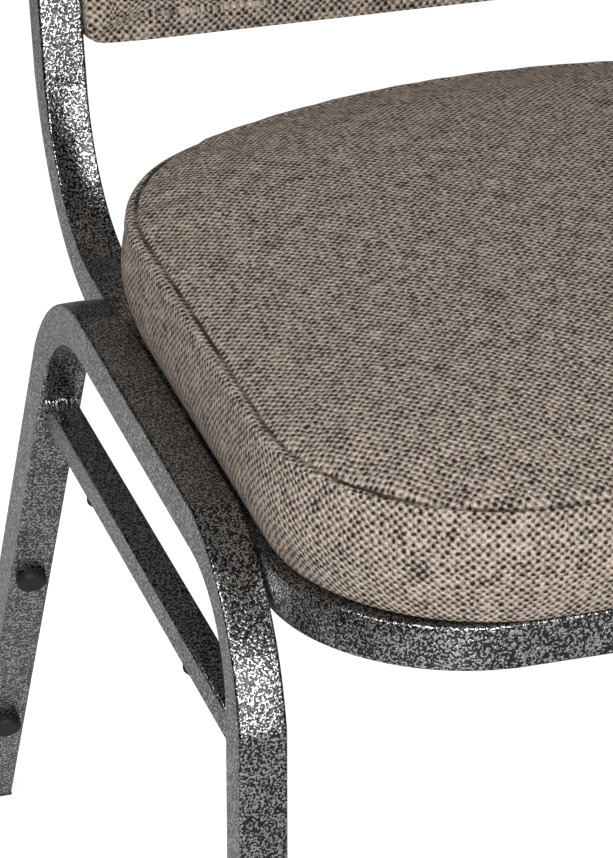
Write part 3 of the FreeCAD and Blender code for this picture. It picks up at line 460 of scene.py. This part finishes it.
def pad_form(name, arcs, side_rings, top_rings, rise, cells, sewn):
    """A pad lying in its own frame: a bottom, a side band ring by ring, and a crowned top of square cells.
    Its cloth lies straight along the top, and runs round the side band. Each point of a sewn pad keeps its
    distance from the seam, above zero on the top."""
    points, around = outline_points(arcs, cells)
    count = len(points)
    seam_height = side_rings[-1][1]
    bm = bmesh.new()
    uv = bm.loops.layers.uv.new("cloth")
    seam = bm.verts.layers.float.new("seam")

    def point(place, distance):
        """A point of the cover, with its distance from the seam: far off where the pad isn't sewn."""
        vert = bm.verts.new(place)
        vert[seam] = distance if sewn else around
        return vert

    def ring(inset, height, distance):
        """A ring of points round the outline. At the sides the seam lies further in on the top."""
        return [point((*(spot - out * inset), height), distance - SIDE_SEAM_INSET * out.x ** 2)
                for spot, out, _ in points]

    def skin(face, spots):
        """Lays a face's corners on places of the flat cloth."""
        for loop, spot in zip(face.loops, spots):
            loop[uv].uv = spot

    def band(low, high, spots):
        """Faces between two rings."""
        for i in range(count):
            j = (i + 1) % count
            face = bm.faces.new((low[i], low[j], high[j], high[i]))
            skin(face, spots(face, i, j))

    girths = [0]
    for here, there in zip(side_rings, side_rings[1:]):
        girths.append(girths[-1] + math.dist(here, there))
    rings = [ring(*size, girth - girths[-1]) for size, girth in zip(side_rings, girths)]
    rings += [ring(inset, seam_height + rise(inset), inset) for inset in top_rings]
    for low, high, girth, girth_up in zip(rings, rings[1:], girths, girths[1:]):
        band(low, high, lambda face, i, j: [
            (points[i][2], girth), (points[j][2] if j else around, girth),
            (points[j][2] if j else around, girth_up), (points[i][2], girth_up)])

    def straight(face, *_):
        """Cloth that lies straight along X and Y."""
        return [loop.vert.co.xy for loop in face.loops]

    for low, high in zip(rings[len(side_rings) - 1:], rings[len(side_rings):]):
        band(low, high, straight)

    def close(edge, height, distance):
        """A grid of square cells within a ring, its height and distance from the seam set by the inset."""
        grid = {}
        for i in range(cells):
            grid[i, 0] = edge[i]
            grid[cells, i] = edge[cells + i]
            grid[cells - i, cells] = edge[2 * cells + i]
            grid[0, cells - i] = edge[3 * cells + i]
        for i in range(1, cells):
            for j in range(1, cells):
                s, t = i / cells, j / cells
                spot = ((1 - t) * grid[i, 0].co + t * grid[i, cells].co
                        + (1 - s) * grid[0, j].co + s * grid[cells, j].co
                        - (1 - s) * (1 - t) * grid[0, 0].co - s * (1 - t) * grid[cells, 0].co
                        - s * t * grid[cells, cells].co - (1 - s) * t * grid[0, cells].co)
                inset = min((spot.xy - place).length for place, _, _ in points)
                grid[i, j] = point((spot.x, spot.y, height(inset)), distance(inset))
        for i in range(cells):
            for j in range(cells):
                face = bm.faces.new((grid[i, j], grid[i + 1, j], grid[i + 1, j + 1], grid[i, j + 1]))
                skin(face, straight(face))

    close(rings[0], lambda inset: side_rings[0][1], lambda inset: -girths[-1] - inset)
    close(rings[-1], lambda inset: seam_height + rise(inset), lambda inset: inset)
    bottom = list(range(len(rings) * count, len(rings) * count + (cells - 1) ** 2))
    return finish_mesh(name, bm, brown_tweed), count, bottom


def inflate(piece, held, pressure, most):
    """Presses the cover out from inside, as foam does, with some points held and no point moving too far."""
    rest = [vert.co.copy() for vert in piece.data.vertices]
    group = piece.vertex_groups.new(name="held")
    group.add(held, 1.0, "REPLACE")
    modifier = piece.modifiers.new("cover", "CLOTH")
    settings = modifier.settings
    settings.quality = 6
    settings.mass = 0.3
    settings.tension_stiffness = 20
    settings.compression_stiffness = 20
    settings.shear_stiffness = 8
    settings.bending_stiffness = 0.6
    settings.vertex_group_mass = "held"
    settings.use_pressure = True
    settings.uniform_pressure_force = pressure
    settings.effector_weights.gravity = 0
    scene = bpy.context.scene
    for number in range(1, PRESS_FRAMES + 1):
        scene.frame_set(number)
    pressed = piece.evaluated_get(bpy.context.evaluated_depsgraph_get()).to_mesh()
    for vert, before, after in zip(piece.data.vertices, rest, [v.co.copy() for v in pressed.vertices]):
        move = after - before
        vert.co = before + move * min(1, most / max(move.length, 1e-9))
    piece.modifiers.remove(modifier)
    piece.vertex_groups.remove(group)
    scene.frame_set(1)


def crown(band, height, shape):
    """How high a pad has risen at an inset from its seam."""
    def rise(inset):
        share = min(inset / band, 1)
        for (low, low_rise), (high, high_rise) in zip(shape, shape[1:]):
            if share <= high:
                return height * (low_rise + (high_rise - low_rise) * (share - low) / (high - low))
        return height
    return rise


def subdivide(piece):
    """Smooths the pad with one subdivision and keeps the result as its mesh."""
    smooth = piece.modifiers.new("smooth", "SUBSURF")
    smooth.levels = 1
    smooth.render_levels = 1
    mesh = bpy.data.meshes.new_from_object(piece.evaluated_get(bpy.context.evaluated_depsgraph_get()))
    piece.modifiers.remove(smooth)
    piece.data = mesh


SEAM_DEPTH = 0.0010
SEAM_WIDTH = 0.0013
LAP_WIDTH = 0.0086
LAP_HEIGHT = 0.0006
LAP_EDGE = 0.0008
SEWN_REACH = 0.03
SIDEWARD = (0.5, 0.8)
PUCKER = 0.0006
PUCKER_LENGTH = 0.015
PUCKER_REACH = 0.010


def ease(low, high, number):
    """A smooth step from 0 to 1."""
    share = min(max((number - low) / (high - low), 0), 1)
    return share * share * (3 - 2 * share)


def sew(mesh):
    """Draws the seam in, lifts the cloth over the turned seam allowance, and puckers the front corners."""
    distances = [item.value for item in mesh.attributes["seam"].data]
    normals = [vert.normal.copy() for vert in mesh.vertices]
    for vert, distance, normal in zip(mesh.vertices, distances, normals):
        out = normal.xy.normalized()
        away = abs(distance)
        groove = -SEAM_DEPTH * math.exp(-(distance / SEAM_WIDTH) ** 2)
        turned_down = ease(*SIDEWARD, abs(out.x))
        padded = turned_down if distance < 0 else 1 - turned_down
        lap = LAP_HEIGHT * padded * (1 - ease(LAP_WIDTH - LAP_EDGE, LAP_WIDTH + LAP_EDGE, away))
        at_corner = max(0, -2 * out.y * abs(out.x)) ** 2
        wave = math.sin(2 * math.pi * SEAT_CORNER * math.atan2(out.y, abs(out.x)) / PUCKER_LENGTH)
        pucker = PUCKER * at_corner * wave * math.exp(-(away / PUCKER_REACH) ** 2)
        if away < SEWN_REACH:
            vert.co += normal * (groove + lap + pucker)


seat, count, bottom = pad_form("seat_cushion_tweed", SEAT_ARCS, SEAT_RINGS, SEAT_TOP_RINGS,
                               crown(SEAT_BAND, SEAT_RISE, SEAT_SHAPE), CELLS, sewn=True)
tacked = list(range(TACKED_RINGS * count))
seam_ring = (len(SEAT_RINGS) - 1) * count
inflate(seat, bottom + tacked + list(range(seam_ring, seam_ring + count)), SEAT_PRESSURE, SEAT_MOST_MOVE)
subdivide(seat)
sew(seat.data)
for vert in seat.data.vertices:
    vert.co.z += SEAT_BOTTOM
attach(seat, "root")
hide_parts("seat_cover", "seat_foam")


# Under the seat
# A plywood board with tee nuts and screws, closed off below by a black non-woven dust cover. Sleeves of
# bare steel tube sit inside the joints between the front rail and the hoop.

def fibre_cloth(tree):
    """Spun-bonded black dust cloth: fine random fibres, matt."""
    place = add(tree, "ShaderNodeTexCoord").outputs["Object"]
    fibre = add(tree, "ShaderNodeTexNoise", {"Vector": place, "Scale": 1 / 0.0015, "Detail": 4.0})
    tint = add(tree, "ShaderNodeMix", {
        "Factor": fibre.outputs["Fac"], 6: linear("101010"), 7: linear("2C2B2A")}, data_type="RGBA")
    bump = add(tree, "ShaderNodeBump", {"Height": fibre.outputs["Fac"], "Strength": 0.4, "Distance": 0.0003})
    return add(tree, "ShaderNodeBsdfPrincipled", {
        "Base Color": tint.outputs[2], "Roughness": 0.95, "Normal": bump.outputs["Normal"]})


def plywood(tree):
    """Sanded birch plywood: grain along X on the faces, plies one over the other at the edges."""
    place = add(tree, "ShaderNodeTexCoord").outputs["Object"]
    drawn = add(tree, "ShaderNodeMapping", {"Vector": place, "Scale": (8, 120, 700)})
    grain = add(tree, "ShaderNodeTexNoise", {"Vector": drawn.outputs[0], "Scale": 1.0, "Detail": 3.0})
    tint = add(tree, "ShaderNodeMix", {
        "Factor": grain.outputs["Fac"], 6: linear("B48A5A"), 7: linear("E2C79C")}, data_type="RGBA")
    return add(tree, "ShaderNodeBsdfPrincipled", {"Base Color": tint.outputs[2], "Roughness": 0.6})


def zinc_plate(tree):
    """Bright zinc plating on steel: grey, with faint mottling."""
    place = add(tree, "ShaderNodeTexCoord").outputs["Object"]
    bloom = add(tree, "ShaderNodeTexNoise", {"Vector": place, "Scale": 1 / 0.002, "Detail": 3.0})
    tint = add(tree, "ShaderNodeMix", {
        "Factor": bloom.outputs["Fac"], 6: linear("9A9C9E"), 7: linear("D4D6D8")}, data_type="RGBA")
    return add(tree, "ShaderNodeBsdfPrincipled", {
        "Base Color": tint.outputs[2], "Metallic": 1.0, "Roughness": 0.38})


def mill_steel(tree):
    """Bare drawn steel tube: darker grey, streaked along Y as it left the die."""
    place = add(tree, "ShaderNodeTexCoord").outputs["Object"]
    drawn = add(tree, "ShaderNodeMapping", {"Vector": place, "Scale": (900, 40, 900)})
    streak = add(tree, "ShaderNodeTexNoise", {"Vector": drawn.outputs[0], "Scale": 1.0, "Detail": 2.0})
    tint = add(tree, "ShaderNodeMix", {
        "Factor": streak.outputs["Fac"], 6: linear("6E6C6A"), 7: linear("A09E9C")}, data_type="RGBA")
    return add(tree, "ShaderNodeBsdfPrincipled", {
        "Base Color": tint.outputs[2], "Metallic": 1.0, "Roughness": 0.45})


birch = new_material("birch_plywood_sanded", plywood)
zinc = new_material("steel_zinc_plated", zinc_plate)
dress(new_material("black_dust_cloth_spun_bonded", fibre_cloth), "seat_dust_cover")
dress(new_material("steel_tube_drawn", mill_steel), "rail_joint_sleeves")
dress(birch, "seat_board")
dress(zinc, "seat_tee_nuts", "seat_screws")


# Back pads
# Two padded halves inside the hoop: the front one wraps the plywood core, and the thinner rear one
# wraps a hardboard panel and is clipped on behind it. Screws through the hoop's tabs hold the core.

PAD_HALF = 0.18865
PAD_LOW = 0.0863
PAD_CORNER = 0.004
PAD_SHOULDER = 0.51457
PAD_PEAK = 0.54104
PAD_TOP_CORNER = 0.08415
PAD_CROWN_BEND = 0.48915
PAD_BAND = 0.055
PAD_SHAPE = ((0, 0), (0.06, 0.3), (0.14, 0.5), (0.27, 0.7), (0.5, 0.85), (0.75, 0.95), (1, 1))
FRONT_RISE = 0.0105
REAR_RISE = 0.0055
FRONT_RINGS = [
    (0.0060, -0.0020), (0.0012, -0.0018), (0.0002, -0.0004), (0, 0.0030), (0, 0.0070), (0, 0.0105),
    (0.0001, 0.0125), (0.0003, 0.0132)]
REAR_RINGS = [
    (0.0060, 0.0040), (0.0012, 0.0042), (0.0002, 0.0056), (0, 0.0080), (0, 0.0100), (0.0001, 0.0113),
    (0.0003, 0.0120)]
PAD_TOP_RINGS = [0.0016, 0.0032, 0.0052, 0.0078, 0.0110]
CORNER_LIFT = 0.0010
CORNER_REACH = 0.038
LIFT_HEIGHT = 0.050
PAD_PRESSURE = 2.0
PAD_MOST_MOVE = 0.022


def rounded(corners, radii):
    """Arcs that round the corners of a closed outline, walked anticlockwise."""
    arcs = []
    for i, (corner, radius) in enumerate(zip(corners, radii)):
        corner = Vector(corner)
        before = (Vector(corners[i - 1]) - corner).normalized()
        after = (Vector(corners[(i + 1) % len(corners)]) - corner).normalized()
        half = before.angle(after) / 2
        centre = corner + (before + after).normalized() * radius / math.sin(half)
        first = corner + before * radius / math.tan(half) - centre
        start = math.degrees(math.atan2(first.y, first.x))
        arcs.append((tuple(centre), radius, start, start + 180 - math.degrees(2 * half)))
    return arcs


def hardboard(tree):
    """Pressed hardboard: dark brown, with short matted fibres."""
    place = add(tree, "ShaderNodeTexCoord").outputs["Object"]
    fibre = add(tree, "ShaderNodeTexNoise", {
        "Vector": place, "Scale": 1 / 0.001, "Detail": 5.0, "Roughness": 0.7})
    tint = add(tree, "ShaderNodeMix", {
        "Factor": fibre.outputs["Fac"], 6: linear("4A3222"), 7: linear("8A6848")}, data_type="RGBA")
    return add(tree, "ShaderNodeBsdfPrincipled", {"Base Color": tint.outputs[2], "Roughness": 0.8})


pad_arcs = rounded(
    [(-PAD_HALF, PAD_LOW), (PAD_HALF, PAD_LOW), (PAD_HALF, PAD_SHOULDER), (0, PAD_PEAK),
     (-PAD_HALF, PAD_SHOULDER)],
    [PAD_CORNER, PAD_CORNER, PAD_TOP_CORNER, PAD_CROWN_BEND, PAD_TOP_CORNER])

PADS = (("front", FRONT_RINGS, FRONT_RISE, -1), ("rear", REAR_RINGS, REAR_RISE, 1))

for name, rings, height, facing in PADS:
    pad, count, bottom = pad_form(f"back_{name}_pad_tweed", pad_arcs, rings, PAD_TOP_RINGS,
                                  crown(PAD_BAND, height, PAD_SHAPE), CELLS, sewn=False)
    inflate(pad, bottom + list(range(len(rings) * count)), PAD_PRESSURE, PAD_MOST_MOVE)
    subdivide(pad)
    for vert in pad.data.vertices:
        across, up, out = vert.co
        near_side = max(0, 1 - (PAD_HALF - abs(across)) / CORNER_REACH)
        up += CORNER_LIFT * near_side ** 2 * max(0, 1 - (up - PAD_LOW) / LIFT_HEIGHT)
        vert.co = BACK @ Vector((across, facing * out, up))
    if facing > 0:
        pad.data.flip_normals()
    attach(pad, "root")
    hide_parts(f"back_{name}_cover", f"back_{name}_foam")
dress(birch, "back_board")
dress(new_material("hardboard_pressed", hardboard), "back_rear_board")
dress(zinc, "back_screws")


# Feet, clips and stacking bumpers
# Black moulded glides close the leg ends, clips of the same nylon hold the rear panel on, and rubber
# plugs keep stacked chairs apart.

def black_moulding(dark, pale, roughness):
    """Black moulded plastic or rubber: faint mottling and a fine moulded grain."""
    def surface(tree):
        place = add(tree, "ShaderNodeTexCoord").outputs["Object"]
        grain = add(tree, "ShaderNodeTexNoise", {"Vector": place, "Scale": 1 / 0.0012, "Detail": 3.0})
        tint = add(tree, "ShaderNodeMix", {
            "Factor": grain.outputs["Fac"], 6: linear(dark), 7: linear(pale)}, data_type="RGBA")
        bump = add(tree, "ShaderNodeBump", {
            "Height": grain.outputs["Fac"], "Strength": 0.15, "Distance": 0.0002})
        return add(tree, "ShaderNodeBsdfPrincipled", {
            "Base Color": tint.outputs[2], "Roughness": roughness, "Normal": bump.outputs["Normal"]})
    return surface


dress(new_material("black_nylon_moulded", black_moulding("0C0C0C", "1C1C1C", 0.4)),
      "front_glides", "rear_glides", "back_clips")
dress(new_material("black_rubber_moulded", black_moulding("101010", "242424", 0.6)),
      "rear_leg_bumpers", "brace_bumpers")


# Studio
# A pale floor, a softbox in front and another above at the left, with a weak fill from all round. The
# world is white to the camera, but dark in the coat's reflections, so that the tubes keep black edges.
# The floor glows white to the camera. In the coat's reflections alone it glows as a graded strip, a
# painted glow where no lamp is.

FLOOR_HALF = 8
FLOOR_PALE = 0.86
FLOOR_GLOW = 0.75
STRIP_TONE = 0.31
STRIP_STEPS = ((-1.0, -0.75, 0, 1), (-0.20, -0.08, 1, 0.5), (0.05, 0.25, 1, 1.8), (0.45, 0.80, 1, 0.1))
WORLD_DARK = 0.06
WORLD_FILL = 0.16


def studio_floor(tree):
    """Pale floor, glowing white to the camera. The coat mirrors it as strips along the chair, dark at the far
    left and far right. In glossy rays alone, the floor takes the strip as its colour and glows with it, a
    painted glow where no lamp is. Each step runs between two places along X and changes the strip by a
    factor."""
    path = add(tree, "ShaderNodeLightPath").outputs
    place = add(tree, "ShaderNodeSeparateXYZ", {0: add(tree, "ShaderNodeTexCoord").outputs["Object"]})
    strip = STRIP_TONE
    for low, high, left, right in STRIP_STEPS:
        shade = add(tree, "ShaderNodeMapRange", {
            "Value": place.outputs["X"], "From Min": low, "From Max": high, "To Min": left, "To Max": right})
        product = add(tree, "ShaderNodeMath", {0: shade.outputs["Result"], 1: strip}, operation="MULTIPLY")
        strip = product.outputs[0]
    # Painted glow: glossy rays see the floor in the strip's tone, glowing with the strip.
    tone = add(tree, "ShaderNodeMix", {0: path["Is Glossy Ray"], 2: FLOOR_PALE, 3: strip})
    matt = add(tree, "ShaderNodeBsdfDiffuse", {"Color": tone.outputs[0]})
    glow_in_reflections = add(tree, "ShaderNodeMath", {0: path["Is Glossy Ray"], 1: strip}, operation="MULTIPLY")
    glow = add(tree, "ShaderNodeMath", {0: path["Is Camera Ray"], 1: FLOOR_GLOW, 2: glow_in_reflections.outputs[0]},
               operation="MULTIPLY_ADD")
    glowing = add(tree, "ShaderNodeEmission", {"Color": linear("FFFFFF"), "Strength": glow.outputs[0]})
    return add(tree, "ShaderNodeAddShader", {0: glowing.outputs[0], 1: matt.outputs[0]})


bm = bmesh.new()
bmesh.ops.create_grid(bm, x_segments=1, y_segments=1, size=FLOOR_HALF)
floor = finish_mesh("floor", bm, new_material("pale_floor_glowing", studio_floor), smooth=False)

world = bpy.data.worlds.new("studio")
bpy.context.scene.world = world
world.use_nodes = True
tree = world.node_tree
tree.nodes.clear()
path = add(tree, "ShaderNodeLightPath").outputs
fill = add(tree, "ShaderNodeMath", {0: path["Is Diffuse Ray"], 1: WORLD_FILL, 2: WORLD_DARK},
           operation="MULTIPLY_ADD")
strength = add(tree, "ShaderNodeMath", {0: path["Is Camera Ray"], 1: fill.outputs[0]}, operation="MAXIMUM")
ground = add(tree, "ShaderNodeBackground", {"Color": linear("FFFFFF"), "Strength": strength.outputs[0]})
add(tree, "ShaderNodeOutputWorld", {"Surface": ground.outputs[0]})


def softbox(name, width, height, place, aim, power):
    """A square-cornered area lamp in metres and watts, turned towards a point."""
    light = bpy.data.lights.new(name, "AREA")
    light.shape = "RECTANGLE"
    light.size = width
    light.size_y = height
    light.energy = power
    piece = bpy.data.objects.new(name, light)
    piece.location = place
    piece.rotation_euler = (Vector(aim) - Vector(place)).to_track_quat("-Z", "Y").to_euler()
    bpy.context.scene.collection.objects.link(piece)


softbox("front_softbox", 1.04, 1.06, (-0.185, -1.9, 0.84), (-0.185, 0, 0.84), 23)
softbox("left_softbox", 1.2, 1.2, (-1.18, -1.18, 2.05), (-0.1, -0.1, 0.45), 29)

CAMERA_DOWN = 27.115
CAMERA_TURN = 16.884

camera = bpy.data.cameras.new("camera")
camera.lens = 190.25
camera.sensor_width = 36
camera.clip_end = 60
eye = bpy.data.objects.new("camera", camera)
eye.location = (-0.6558, -1.7340, 1.2679)
eye.rotation_euler = (math.radians(90 - CAMERA_DOWN), 0, math.radians(-CAMERA_TURN))
bpy.context.scene.collection.objects.link(eye)
bpy.context.scene.camera = eye
bpy.context.scene.view_settings.view_transform = "Standard"
